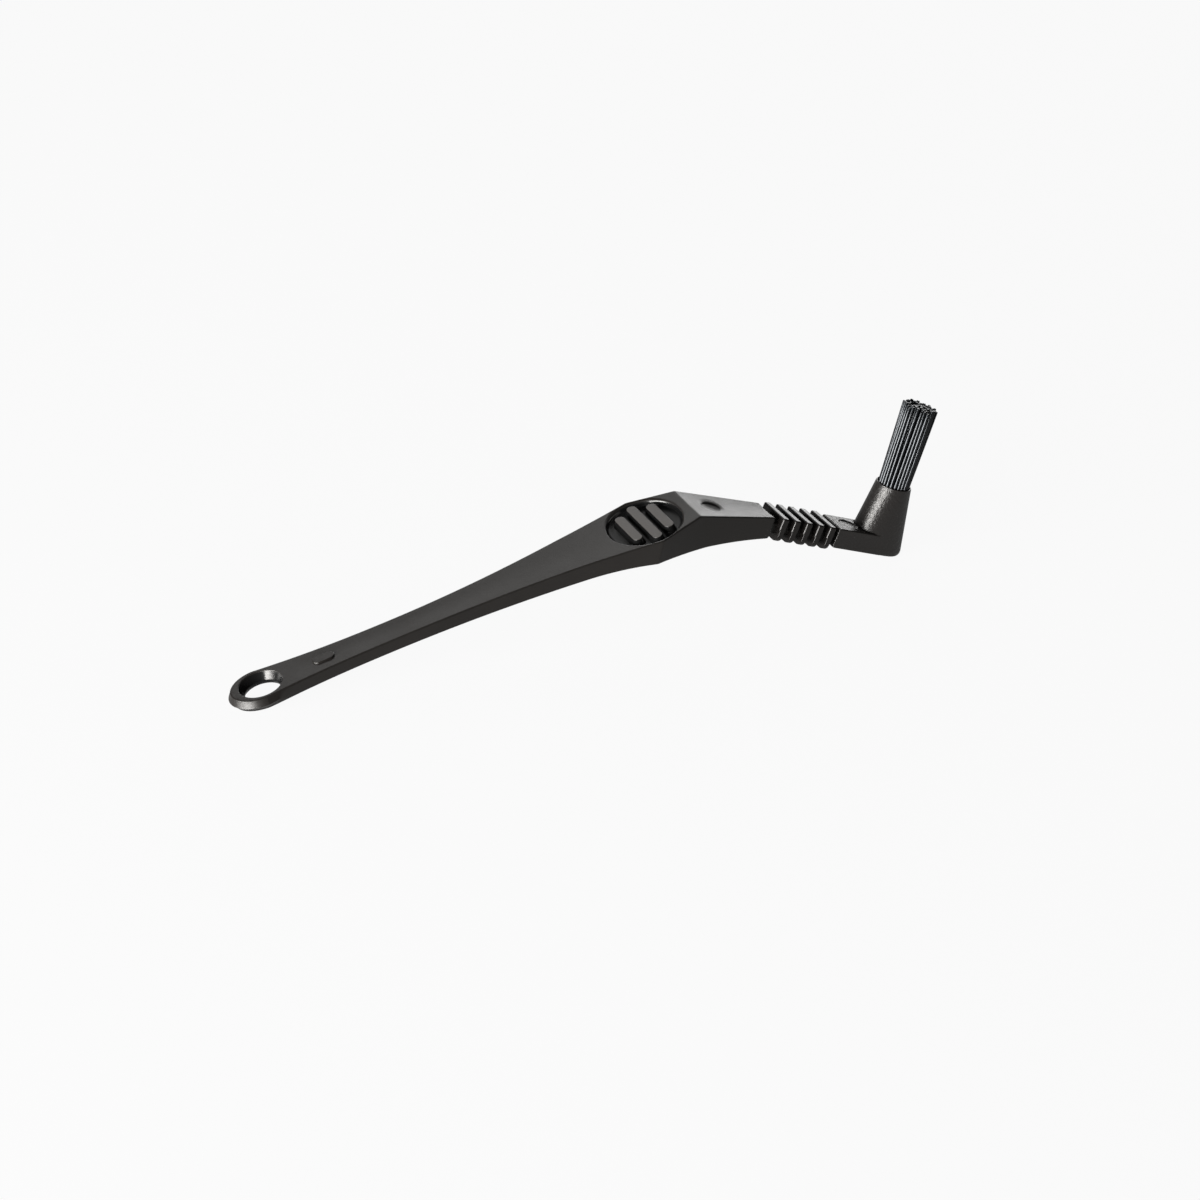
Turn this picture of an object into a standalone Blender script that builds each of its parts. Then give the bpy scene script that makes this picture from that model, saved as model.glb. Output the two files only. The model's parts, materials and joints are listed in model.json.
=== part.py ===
# Group head brush: a flat one-hand handle with a hanging ring and a thumb dish,
# a ribbed neck that flexes, and an angled head that holds a tuft of stiff strands.
#
# Drawing frame: +X runs from the ring to the head, +Y is lateral and +Z is up.
# The handle is drawn with its ring hole at the origin and its flat top in the plane z = 0.
# The finished brush is then tilted until it rests on its ring and on its heel.
# All lengths are metres.

import math
import random

import bmesh
import bpy
from mathutils import Matrix, Vector

# Ring and bar, seen from above
RING_HOLE_RADIUS = 0.0056
RING_HALF_WIDTH = 0.0072
RING_TAIL = 0.0085
BAR_WAIST_HALF_WIDTH = 0.00495
BAR_WAIST_X = 0.0400
BAR_SHOULDER_HALF_WIDTH = 0.0126
DISH_X = 0.1195
NOSE_FROM_DISH = 0.0142
NOSE_HALF_WIDTH = 0.0087
TAIL_FLARE_POWER_SHARE = 2.4
SHOULDER_FLARE_POWER_SHARE = 2.0

# Bar and arm, seen from the side
RING_THICKNESS = 0.0040
BAR_THICKNESS = 0.00525
BAR_SAG = 0.0005
BELLY_BEFORE_DISH = 0.0245
ARM_LENGTH = 0.0282
ARM_DROP_ANGLE = math.radians(28.7)
ARM_END_HALF_WIDTH = 0.0051
ARM_END_THICKNESS = 0.0069

# Hole waist, dish, grip bars, arm dimple and the small raised pad by the ring
HOLE_WAIST_INSET = 0.00025
DISH_RADIUS = 0.0116
DISH_FLOOR_RADIUS = 0.0100
DISH_DEPTH = 0.0022
DISH_RIM_BEVEL = 0.0003
GRIP_BAR_COUNT = 3
GRIP_BAR_WIDTH = 0.0034
GRIP_BAR_SPACING = 0.0052
GRIP_BAR_END_CLEARANCE = 0.0014
DIMPLE_RADIUS = 0.0030
DIMPLE_DEPTH = 0.0009
ARM_DIMPLE_FROM_NOSE = 0.0082
PAD_X = 0.0190
PAD_LENGTH = 0.0064
PAD_WIDTH = 0.0034
PAD_HEIGHT = 0.0004

# Neck: plates strung on a flat core
NECK_DROP_ANGLE = math.radians(33.2)
PLATE_COUNT = 5
PLATE_THICKNESS = 0.00205
PLATE_HALF_WIDTH = 0.00615
PLATE_HEIGHT = 0.0078
PLATE_CORNER_RADIUS = 0.0022
PLATE_PROUD = 0.0003
ARM_GAP = 0.0022
PLATE_GAP = 0.00235
HEAD_GAP = 0.00215
CORE_WIDTH = 0.0084
CORE_THICKNESS = 0.0038
CORE_TOP_BELOW = 0.0018
CORE_CHAMFER = 0.0008
CORE_ROOT = 0.0010
FLEX_CLEARANCE = 0.0003

# Head: a flat block that runs into a leaning socket
HEAD_HALF_WIDTH = 0.0052
HEAD_THICKNESS = 0.0064
SOCKET_FROM_FACE = 0.01815
SOCKET_LEAN_ANGLE = math.radians(-5.5)
SOCKET_HEIGHT = 0.0154
SOCKET_LIP = 0.0004
SOCKET_FOOT_HALF_LENGTH = 0.0097
SOCKET_BORE_CLEARANCE = 0.00028
SOCKET_BORE_DEPTH = 0.0100
HEEL_RADIUS = 0.0024
HEAD_DIMPLE_FROM_FACE = 0.00635
FOOT_SQUARENESS_SHARE = 2.6

# Tuft: strands in rings, fused to a round root disc at the bottom of the bore
TUFT_FREE_LENGTH = 0.0260
STRAND_RINGS = 4
STRAND_RADIUS = 0.00050
STRAND_SPACING = 0.00108
STRAND_TIP_SHARE = 0.86
STRAND_UNEVEN_LENGTH = 0.0006
ROOT_DISC_THICKNESS = 0.0024
SEAT_CLEARANCE = 0.0003

# Fineness of round shapes, overrun of cutting tools, weld distance and the angle that stays crisp
ROUND_STEPS = 48
ARC_STEPS = 10
FLANK_STEPS = 9
OVERRUN = 0.0010
WELD_DISTANCE = 0.00001
CREASE_ANGLE = math.radians(32)

# Places and sizes that follow from the sizes above
BELLY_X = DISH_X - BELLY_BEFORE_DISH
NOSE_X = DISH_X + NOSE_FROM_DISH
ARM_END_X = NOSE_X + ARM_LENGTH * math.cos(ARM_DROP_ANGLE)
ARM_END_Z = -ARM_LENGTH * math.sin(ARM_DROP_ANGLE)
CORE_AXIS_Z = -CORE_TOP_BELOW - CORE_THICKNESS / 2
TUFT_RADIUS = STRAND_RINGS * STRAND_SPACING + STRAND_RADIUS
SOCKET_BORE_RADIUS = TUFT_RADIUS + SOCKET_BORE_CLEARANCE
SOCKET_RIM_RADIUS = SOCKET_BORE_RADIUS + SOCKET_LIP

PLASTIC_BLACK = (0.022, 0.021, 0.021, 1.0)
STRAND_BLACK = (0.012, 0.013, 0.015, 1.0)


# Scene and object helpers

def clear_scene():
    for old in list(bpy.data.objects):
        bpy.data.objects.remove(old, do_unlink=True)


def make_collection(name):
    group = bpy.data.collections.new(name)
    bpy.context.scene.collection.children.link(group)
    return group


def make_material(name, colour, roughness, metallic):
    material = bpy.data.materials.new(name)
    material.use_nodes = True
    shader = material.node_tree.nodes["Principled BSDF"]
    shader.inputs["Base Color"].default_value = colour
    shader.inputs["Roughness"].default_value = roughness
    shader.inputs["Metallic"].default_value = metallic
    material.diffuse_color = colour
    return material


def make_empty(name, group, parent=None, location=(0, 0, 0), pitch=0.0):
    holder = bpy.data.objects.new(name, None)
    group.objects.link(holder)
    holder.parent = parent
    holder.location = location
    holder.rotation_euler = (0, pitch, 0)
    return holder


def add_part(name, mesh, group, parent, material, location=(0, 0, 0)):
    part = bpy.data.objects.new(name, mesh)
    group.objects.link(part)
    part.parent = parent
    part.location = location
    mesh.materials.clear()
    mesh.materials.append(material)
    return part


def combine(part, operation, tool_mesh, tools, location=(0, 0, 0), pitch=0.0):
    """Join, cut or trim a part with a mesh that is placed in the part's own frame."""
    tool = bpy.data.objects.new(part.name + "_" + tool_mesh.name, tool_mesh)
    tools.objects.link(tool)
    tool.parent = part
    tool.location = location
    tool.rotation_euler = (0, pitch, 0)
    tool.hide_render = True
    tool.display_type = "WIRE"
    modifier = part.modifiers.new(tool_mesh.name, "BOOLEAN")
    modifier.operation = operation
    modifier.solver = "EXACT"
    modifier.object = tool


def make_shading():
    """A modifier group that shades faces smooth and keeps edges above the crease angle crisp."""
    group = bpy.data.node_groups.new("smooth_by_angle", "GeometryNodeTree")
    for side in ("INPUT", "OUTPUT"):
        group.interface.new_socket("Geometry", in_out=side, socket_type="NodeSocketGeometry")
    nodes = group.nodes
    entry = nodes.new("NodeGroupInput")
    outcome = nodes.new("NodeGroupOutput")
    bend = nodes.new("GeometryNodeInputMeshEdgeAngle")
    gentle = nodes.new("FunctionNodeCompare")
    gentle.operation = "LESS_THAN"
    gentle.inputs["B"].default_value = CREASE_ANGLE
    faces = nodes.new("GeometryNodeSetShadeSmooth")
    edges = nodes.new("GeometryNodeSetShadeSmooth")
    edges.domain = "EDGE"
    group.links.new(entry.outputs["Geometry"], faces.inputs["Geometry"])
    group.links.new(faces.outputs["Geometry"], edges.inputs["Geometry"])
    group.links.new(bend.outputs["Unsigned Angle"], gentle.inputs["A"])
    group.links.new(gentle.outputs["Result"], edges.inputs["Shade Smooth"])
    group.links.new(edges.outputs["Geometry"], outcome.inputs["Geometry"])
    return group


def shade(parts):
    group = make_shading()
    for part in parts.objects:
        if part.type == "MESH":
            part.modifiers.new("shading", "NODES").node_group = group


# Shape helpers, each of which gives a closed mesh

def flat_mesh(name, outline, half_thickness, turn=Matrix.Identity(4)):
    """A flat outline, thickened to both sides, then turned out of the drawing plane."""
    curve = bpy.data.curves.new(name, "CURVE")
    curve.dimensions = "2D"
    curve.fill_mode = "BOTH"
    curve.extrude = half_thickness
    spline = curve.splines.new("POLY")
    spline.points.add(len(outline) - 1)
    for point, (along, across) in zip(spline.points, outline):
        point.co = (along, across, 0, 1)
    spline.use_cyclic_u = True
    sketch = bpy.data.objects.new(name, curve)
    bpy.context.scene.collection.objects.link(sketch)
    graph = bpy.context.evaluated_depsgraph_get()
    mesh = bpy.data.meshes.new_from_object(sketch.evaluated_get(graph))
    mesh.name = name
    bpy.data.objects.remove(sketch, do_unlink=True)
    weld(mesh)
    mesh.transform(turn)
    return mesh


def weld(mesh):
    work = bmesh.new()
    work.from_mesh(mesh)
    bmesh.ops.remove_doubles(work, verts=work.verts, dist=WELD_DISTANCE)
    bmesh.ops.recalc_face_normals(work, faces=work.faces)
    work.to_mesh(mesh)
    work.free()


def box_mesh(name, size, centre):
    work = bmesh.new()
    place = Matrix.Translation(centre) @ Matrix.Diagonal((*size, 1))
    bmesh.ops.create_cube(work, size=1, matrix=place)
    mesh = bpy.data.meshes.new(name)
    work.to_mesh(mesh)
    work.free()
    return mesh


def ball_mesh(name, radius, centre):
    work = bmesh.new()
    bmesh.ops.create_uvsphere(
        work, u_segments=ROUND_STEPS // 2, v_segments=ROUND_STEPS // 4,
        radius=radius, matrix=Matrix.Translation(centre))
    mesh = bpy.data.meshes.new(name)
    work.to_mesh(mesh)
    work.free()
    return mesh


def cylinder_mesh(name, radius, depth, centre):
    work = bmesh.new()
    bmesh.ops.create_cone(
        work, cap_ends=True, segments=ROUND_STEPS, radius1=radius, radius2=radius,
        depth=depth, matrix=Matrix.Translation(centre))
    mesh = bpy.data.meshes.new(name)
    work.to_mesh(mesh)
    work.free()
    return mesh


def turned_mesh(name, profile):
    """A profile of (radius, height) points, top to bottom, turned about Z."""
    mesh = bpy.data.meshes.new(name)
    points = [(radius, 0, height) for radius, height in profile]
    links = [(step, step + 1) for step in range(len(points) - 1)]
    mesh.from_pydata(points, links, [])
    blank = bpy.data.objects.new(name, mesh)
    bpy.context.scene.collection.objects.link(blank)
    screw = blank.modifiers.new("turn", "SCREW")
    screw.axis = "Z"
    screw.steps = ROUND_STEPS
    screw.render_steps = ROUND_STEPS
    screw.use_merge_vertices = True
    screw.merge_threshold = WELD_DISTANCE
    graph = bpy.context.evaluated_depsgraph_get()
    turned = bpy.data.meshes.new_from_object(blank.evaluated_get(graph))
    turned.name = name
    bpy.data.objects.remove(blank, do_unlink=True)
    weld(turned)
    return turned


def arc(centre, radius, start, end, steps=ARC_STEPS):
    """Points of a round stretch, both ends included."""
    sweep = [start + (end - start) * step / steps for step in range(steps + 1)]
    return [(centre[0] + radius * math.cos(turn), centre[1] + radius * math.sin(turn))
            for turn in sweep]


def stadium(length, width, along_y):
    """A bar outline with fully round ends."""
    reach = (length - width) / 2
    ends = arc((0, reach), width / 2, 0, math.pi) + arc((0, -reach), width / 2, math.pi, 2 * math.pi)
    return ends if along_y else [(y, -x) for x, y in ends]


# Turns that stand a flat outline up
SIDE_VIEW = Matrix.Rotation(math.pi / 2, 4, "X")
END_VIEW = Matrix(((0, 0, 1, 0), (1, 0, 0, 0), (0, 1, 0, 0), (0, 0, 0, 1)))


# Handle

def bar_half_width(x):
    """Half the bar's width between the ring hole and the dish: waisted in the middle."""
    if x < BAR_WAIST_X:
        flare = ((BAR_WAIST_X - x) / BAR_WAIST_X) ** TAIL_FLARE_POWER_SHARE
        return BAR_WAIST_HALF_WIDTH + (RING_HALF_WIDTH - BAR_WAIST_HALF_WIDTH) * flare
    flare = ((x - BAR_WAIST_X) / (DISH_X - BAR_WAIST_X)) ** SHOULDER_FLARE_POWER_SHARE
    return BAR_WAIST_HALF_WIDTH + (BAR_SHOULDER_HALF_WIDTH - BAR_WAIST_HALF_WIDTH) * flare


def bar_sag(x):
    """How far the bar's top is hollowed between the ring hole and the start of the belly."""
    return BAR_SAG * math.sin(math.pi * x / BELLY_X) if x < BELLY_X else 0


def handle_plan():
    """The outline from above: half a turn round the tail, the flanks and the tapered arm."""
    tail = [(-RING_TAIL * math.sin(turn), RING_HALF_WIDTH * math.cos(turn))
            for turn in (math.pi / 2 * step / ARC_STEPS for step in range(ARC_STEPS, 0, -1))]
    stations = [DISH_X * step / (2 * FLANK_STEPS) for step in range(2 * FLANK_STEPS + 1)]
    flank = [(x, bar_half_width(x)) for x in stations]
    front = [(NOSE_X, NOSE_HALF_WIDTH), (ARM_END_X, ARM_END_HALF_WIDTH),
             (ARM_END_X + OVERRUN, ARM_END_HALF_WIDTH)]
    upper = tail + flank + front
    lower = [(x, -y) for x, y in reversed(upper) if y > WELD_DISTANCE]
    return upper + lower


def handle_side():
    """The outline from the side: hollowed top, kinked nose, square arm end and arched belly."""
    stations = [DISH_X * step / FLANK_STEPS for step in range(FLANK_STEPS + 1)]
    hollow = [(x, -bar_sag(x)) for x in stations]
    arm_end = Vector((ARM_END_X, ARM_END_Z))
    down = Vector((-math.sin(NECK_DROP_ANGLE), -math.cos(NECK_DROP_ANGLE)))
    foot = arm_end + down * ARM_END_THICKNESS
    top = [(-RING_TAIL - OVERRUN, 0)] + hollow + [(NOSE_X, 0), tuple(arm_end)]
    rise = (foot.y + BAR_THICKNESS) / (foot.x - BELLY_X) ** 2
    belly = []
    for step in range(FLANK_STEPS, -1, -1):
        x = BELLY_X + (foot.x - BELLY_X) * step / FLANK_STEPS
        belly.append((x, -BAR_THICKNESS + rise * (x - BELLY_X) ** 2))
    tail = [(0, -RING_THICKNESS), (-RING_TAIL - OVERRUN, -RING_THICKNESS)]
    return top + belly + tail


def ring_hole_profile():
    """The hole narrows from both faces to a waist at mid height."""
    reach = RING_THICKNESS / 2
    waist = RING_HOLE_RADIUS - HOLE_WAIST_INSET
    top = OVERRUN
    bottom = -RING_THICKNESS - OVERRUN
    return [(0, top), (RING_HOLE_RADIUS, top), (RING_HOLE_RADIUS, 0), (waist, -reach),
            (RING_HOLE_RADIUS, -RING_THICKNESS), (RING_HOLE_RADIUS, bottom), (0, bottom)]


def dish_profile():
    """A bevelled rim, then a wall that rounds into a flat floor."""
    wall = DISH_RADIUS - DISH_FLOOR_RADIUS
    rounding = [(DISH_FLOOR_RADIUS + wall * math.cos(turn),
                 -DISH_RIM_BEVEL - (DISH_DEPTH - DISH_RIM_BEVEL) * math.sin(turn))
                for turn in (math.pi / 2 * step / ARC_STEPS for step in range(ARC_STEPS + 1))]
    rim = DISH_RADIUS + DISH_RIM_BEVEL
    return [(0, OVERRUN), (rim, OVERRUN), (rim, 0)] + rounding + [(0, -DISH_DEPTH)]


def dimple_ball(name, across):
    """A ball that cuts a shallow round dimple of the given radius into the plane z = 0."""
    radius = (across ** 2 + DIMPLE_DEPTH ** 2) / (2 * DIMPLE_DEPTH)
    return ball_mesh(name, radius, (0, 0, radius - DIMPLE_DEPTH))


def grip_bar_length(offset):
    """The longest bar that keeps its clearance to the dish floor's edge."""
    reach = DISH_FLOOR_RADIUS - GRIP_BAR_END_CLEARANCE
    return 2 * math.sqrt(reach ** 2 - (abs(offset) + GRIP_BAR_WIDTH / 2) ** 2) + GRIP_BAR_WIDTH / 2


def make_handle(parts, tools, brush, plastic):
    depth = ARM_LENGTH + ARM_END_THICKNESS
    handle = add_part("handle", flat_mesh("plan", handle_plan(), depth), parts, brush, plastic)
    side = flat_mesh("side", handle_side(), 2 * BAR_SHOULDER_HALF_WIDTH, SIDE_VIEW)
    combine(handle, "INTERSECT", side, tools)
    combine(handle, "DIFFERENCE", turned_mesh("hole", ring_hole_profile()), tools)
    combine(handle, "DIFFERENCE", turned_mesh("dish", dish_profile()), tools, (DISH_X, 0, 0))
    along = Vector((math.cos(ARM_DROP_ANGLE), 0, -math.sin(ARM_DROP_ANGLE)))
    dimple_at = Vector((NOSE_X, 0, 0)) + along * ARM_DIMPLE_FROM_NOSE
    combine(handle, "DIFFERENCE", dimple_ball("dimple", DIMPLE_RADIUS), tools,
            dimple_at, ARM_DROP_ANGLE)
    for place in range(GRIP_BAR_COUNT):
        offset = (place - (GRIP_BAR_COUNT - 1) / 2) * GRIP_BAR_SPACING
        outline = stadium(grip_bar_length(offset), GRIP_BAR_WIDTH, along_y=True)
        height = DISH_DEPTH + OVERRUN
        bar = flat_mesh("grip_bar_%d" % (place + 1), outline, height / 2)
        combine(handle, "UNION", bar, tools, (DISH_X + offset, 0, -height / 2))
    pad = flat_mesh("pad", stadium(PAD_LENGTH, PAD_WIDTH, along_y=False), PAD_HEIGHT + BAR_SAG)
    combine(handle, "UNION", pad, tools, (PAD_X, 0, -bar_sag(PAD_X) - BAR_SAG))
    stub = core_mesh("core_root", -CORE_ROOT, ARM_GAP / 2 - FLEX_CLEARANCE / 2)
    combine(handle, "UNION", stub, tools, (ARM_END_X, 0, ARM_END_Z), NECK_DROP_ANGLE)
    return handle


# Neck

def core_mesh(name, start, end):
    """A stretch of the flat core, with its long edges chamfered; z = 0 is the neck's top line."""
    half = CORE_WIDTH / 2
    top = -CORE_TOP_BELOW
    bottom = top - CORE_THICKNESS
    cut = CORE_CHAMFER
    outline = [(half - cut, top), (-half + cut, top), (-half, top - cut), (-half, bottom + cut),
               (-half + cut, bottom), (half - cut, bottom), (half, bottom + cut), (half, top - cut)]
    mesh = flat_mesh(name, outline, (end - start) / 2, END_VIEW)
    mesh.transform(Matrix.Translation(((start + end) / 2, 0, 0)))
    return mesh


def plate_outline():
    """Square upper corners and round lower ones."""
    top = PLATE_PROUD
    bottom = top - PLATE_HEIGHT
    side = PLATE_HALF_WIDTH - PLATE_CORNER_RADIUS
    low = bottom + PLATE_CORNER_RADIUS
    left = arc((-side, low), PLATE_CORNER_RADIUS, math.pi, 3 * math.pi / 2)
    right = arc((side, low), PLATE_CORNER_RADIUS, 3 * math.pi / 2, 2 * math.pi)
    return [(PLATE_HALF_WIDTH, top), (-PLATE_HALF_WIDTH, top)] + left + right


def gap_before(place):
    """The free gap in front of plate 1, 2, ... and, last, in front of the head."""
    if place == 1:
        return ARM_GAP
    return HEAD_GAP if place > PLATE_COUNT else PLATE_GAP


def make_neck_link(place, parts, tools, parent, step, plastic):
    """One plate with its stretch of core; its origin lies on the hinge line in the gap before it."""
    start = FLEX_CLEARANCE / 2
    plate_at = gap_before(place) / 2
    end = plate_at + PLATE_THICKNESS + gap_before(place + 1) / 2 - FLEX_CLEARANCE / 2
    core = core_mesh("core", start, end)
    core.transform(Matrix.Translation((0, 0, -CORE_AXIS_Z)))
    link = add_part("neck_link_%d" % place, core, parts, parent, plastic, step)
    plate = flat_mesh("plate", plate_outline(), PLATE_THICKNESS / 2, END_VIEW)
    combine(link, "UNION", plate, tools, (plate_at + PLATE_THICKNESS / 2, 0, -CORE_AXIS_Z))
    return link


# Head

def oval(centre_x, centre_z, half_length, half_width, squareness, lean):
    """One closed section of the socket, leaning about its own centre."""
    ring = []
    for step in range(ROUND_STEPS):
        turn = 2 * math.pi * step / ROUND_STEPS
        c = math.cos(turn)
        s = math.sin(turn)
        along = half_length * math.copysign(abs(c) ** (2 / squareness), c)
        across = half_width * math.copysign(abs(s) ** (2 / squareness), s)
        ring.append((centre_x + along * math.cos(lean), across, centre_z - along * math.sin(lean)))
    return ring


def socket_mesh():
    """A loft from the long oval heel, rounded underneath, up to the round leaning rim."""
    below = HEAD_THICKNESS
    total = below + SOCKET_HEIGHT
    sections = []
    for step in range(ARC_STEPS // 2):
        turn = math.pi / 2 * step / (ARC_STEPS // 2)
        inset = HEEL_RADIUS * (1 - math.sin(turn))
        height = HEEL_RADIUS * (1 - math.cos(turn))
        share = height / total
        half_length = SOCKET_FOOT_HALF_LENGTH + (SOCKET_RIM_RADIUS - SOCKET_FOOT_HALF_LENGTH) * share
        sections.append((height, half_length - inset, SOCKET_RIM_RADIUS - inset / 2, share))
    for step in range(ARC_STEPS + 1):
        height = HEEL_RADIUS + (total - HEEL_RADIUS) * step / ARC_STEPS
        share = height / total
        half_length = SOCKET_FOOT_HALF_LENGTH + (SOCKET_RIM_RADIUS - SOCKET_FOOT_HALF_LENGTH) * share
        sections.append((height, half_length, SOCKET_RIM_RADIUS, share))
    work = bmesh.new()
    rings = []
    for height, half_length, half_width, share in sections:
        rise = height - below
        squareness = FOOT_SQUARENESS_SHARE + (2 - FOOT_SQUARENESS_SHARE) * share
        points = oval(rise * math.sin(SOCKET_LEAN_ANGLE), rise * math.cos(SOCKET_LEAN_ANGLE),
                      half_length, half_width, squareness, SOCKET_LEAN_ANGLE * share)
        rings.append([work.verts.new(point) for point in points])
    for lower, upper in zip(rings, rings[1:]):
        for step in range(ROUND_STEPS):
            after = (step + 1) % ROUND_STEPS
            work.faces.new((lower[step], lower[after], upper[after], upper[step]))
    work.faces.new(list(reversed(rings[0])))
    work.faces.new(rings[-1])
    bmesh.ops.recalc_face_normals(work, faces=work.faces)
    mesh = bpy.data.meshes.new("socket")
    work.to_mesh(mesh)
    work.free()
    return mesh


def make_head(parts, tools, parent, step, plastic):
    """The block, its share of the core, the socket and the bore; origin on the last hinge line."""
    face = HEAD_GAP / 2
    lift = -CORE_AXIS_Z
    block = box_mesh("block", (SOCKET_FROM_FACE, 2 * HEAD_HALF_WIDTH, HEAD_THICKNESS),
                     (face + SOCKET_FROM_FACE / 2, 0, lift - HEAD_THICKNESS / 2))
    head = add_part("head", block, parts, parent, plastic, step)
    combine(head, "DIFFERENCE", dimple_ball("dimple", DIMPLE_RADIUS), tools,
            (face + HEAD_DIMPLE_FROM_FACE, 0, lift))
    socket_at = (face + SOCKET_FROM_FACE, 0, lift)
    combine(head, "UNION", socket_mesh(), tools, socket_at)
    bore_length = SOCKET_BORE_DEPTH + OVERRUN
    bore = cylinder_mesh("bore", SOCKET_BORE_RADIUS, bore_length,
                         (0, 0, SOCKET_HEIGHT - SOCKET_BORE_DEPTH + bore_length / 2))
    combine(head, "DIFFERENCE", bore, tools, socket_at, SOCKET_LEAN_ANGLE)
    stub = core_mesh("core_end", FLEX_CLEARANCE / 2, face + CORE_ROOT)
    combine(head, "UNION", stub, tools, (0, 0, lift))
    return head


# Tuft

def strand_places():
    """Strand feet: one in the middle, then rings of six, twelve, eighteen and so on."""
    places = [(0.0, 0.0)]
    for ring in range(1, STRAND_RINGS + 1):
        count = 6 * ring
        for step in range(count):
            turn = 2 * math.pi * (step + ring / 2) / count
            places.append((ring * STRAND_SPACING * math.cos(turn),
                           ring * STRAND_SPACING * math.sin(turn)))
    return places


def strands_mesh(root_top, length):
    """Four-sided strands of slightly uneven length, standing side by side without touching."""
    uneven = random.Random(11)
    work = bmesh.new()
    sunk = ROOT_DISC_THICKNESS / 2
    for x, y in strand_places():
        tall = length + sunk - STRAND_UNEVEN_LENGTH * uneven.random()
        middle = Matrix.Translation((x, y, root_top - sunk + tall / 2))
        bmesh.ops.create_cone(
            work, cap_ends=True, segments=4, radius1=STRAND_RADIUS,
            radius2=STRAND_RADIUS * STRAND_TIP_SHARE, depth=tall, matrix=middle)
    mesh = bpy.data.meshes.new("strands")
    work.to_mesh(mesh)
    work.free()
    return mesh


def make_tuft(parts, tools, parent, strand_plastic):
    """The root disc and its strands; the origin is where the bore's axis meets the block's top."""
    radius = SOCKET_BORE_RADIUS - SEAT_CLEARANCE
    floor = SOCKET_HEIGHT - SOCKET_BORE_DEPTH + SEAT_CLEARANCE
    root_top = floor + ROOT_DISC_THICKNESS
    disc = cylinder_mesh("root_disc", radius, ROOT_DISC_THICKNESS,
                         (0, 0, floor + ROOT_DISC_THICKNESS / 2))
    place = (HEAD_GAP / 2 + SOCKET_FROM_FACE, 0, -CORE_AXIS_Z)
    tuft = add_part("bristle_tuft", disc, parts, parent, strand_plastic, place)
    tuft.rotation_euler = (0, SOCKET_LEAN_ANGLE, 0)
    length = SOCKET_HEIGHT + TUFT_FREE_LENGTH - root_top
    combine(tuft, "UNION", strands_mesh(root_top, length), tools)
    return tuft


# Assembly

def corners(parts):
    """All surface points of the finished parts, in world space."""
    bpy.context.view_layer.update()
    graph = bpy.context.evaluated_depsgraph_get()
    points = []
    for part in parts.objects:
        if part.type != "MESH":
            continue
        solid = part.evaluated_get(graph)
        mesh = solid.to_mesh()
        points.extend(solid.matrix_world @ vertex.co for vertex in mesh.vertices)
        solid.to_mesh_clear()
    return points


def lay_down(parts, brush):
    """Tilt the brush until ring and heel touch one floor, then centre it over the origin."""
    drawn = corners(parts)
    tilt = 0.0
    for _ in range(ARC_STEPS):
        turn = Matrix.Rotation(-tilt, 3, "Y")
        turned = [(turn @ point, point.x < DISH_X) for point in drawn]
        ring = min((point for point, tail in turned if tail), key=lambda point: point.z)
        heel = min((point for point, tail in turned if not tail), key=lambda point: point.z)
        tilt -= math.atan2(heel.z - ring.z, heel.x - ring.x)
    turn = Matrix.Rotation(-tilt, 3, "Y")
    turned = [turn @ point for point in drawn]
    middle = (max(point.x for point in turned) + min(point.x for point in turned)) / 2
    floor = min(point.z for point in turned)
    brush.rotation_euler = (0, -tilt, 0)
    brush.location = (-middle, 0, -floor)
    bpy.context.view_layer.update()
    print("bar rise in degrees: %.3f" % math.degrees(tilt))


def main():
    clear_scene()
    parts = make_collection("group_head_brush")
    tools = make_collection("cutters")
    brush = make_empty("brush", parts)
    plastic = make_material("black_plastic", PLASTIC_BLACK, 0.45, 0.0)
    neck_plastic = make_material("neck_plastic", PLASTIC_BLACK, 0.35, 0.0)
    head_plastic = make_material("head_plastic", PLASTIC_BLACK, 0.55, 0.0)
    strand_plastic = make_material("strand_plastic", STRAND_BLACK, 0.22, 0.0)

    handle = make_handle(parts, tools, brush, plastic)
    neck = make_empty("neck", parts, handle, (ARM_END_X, 0, ARM_END_Z), NECK_DROP_ANGLE)
    parent = neck
    step = Vector((ARM_GAP / 2, 0, CORE_AXIS_Z))
    for place in range(1, PLATE_COUNT + 1):
        parent = make_neck_link(place, parts, tools, parent, step, neck_plastic)
        reach = gap_before(place) / 2 + PLATE_THICKNESS + gap_before(place + 1) / 2
        step = Vector((reach, 0, 0))
    head = make_head(parts, tools, parent, step, head_plastic)
    make_tuft(parts, tools, head, strand_plastic)
    shade(parts)
    lay_down(parts, brush)


main()
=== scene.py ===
# %% [markdown]
# A group head brush, dressed for its portrait. The real brush is almost wholly black plastic on a
# white ground, so its shape is told by highlights: thin lit edges, a satin bar top, glossy strands.
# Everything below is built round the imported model, which says where each piece is and how it moves.

import json
import math
import random

import bmesh
import bpy
from mathutils import Matrix, Vector


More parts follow.
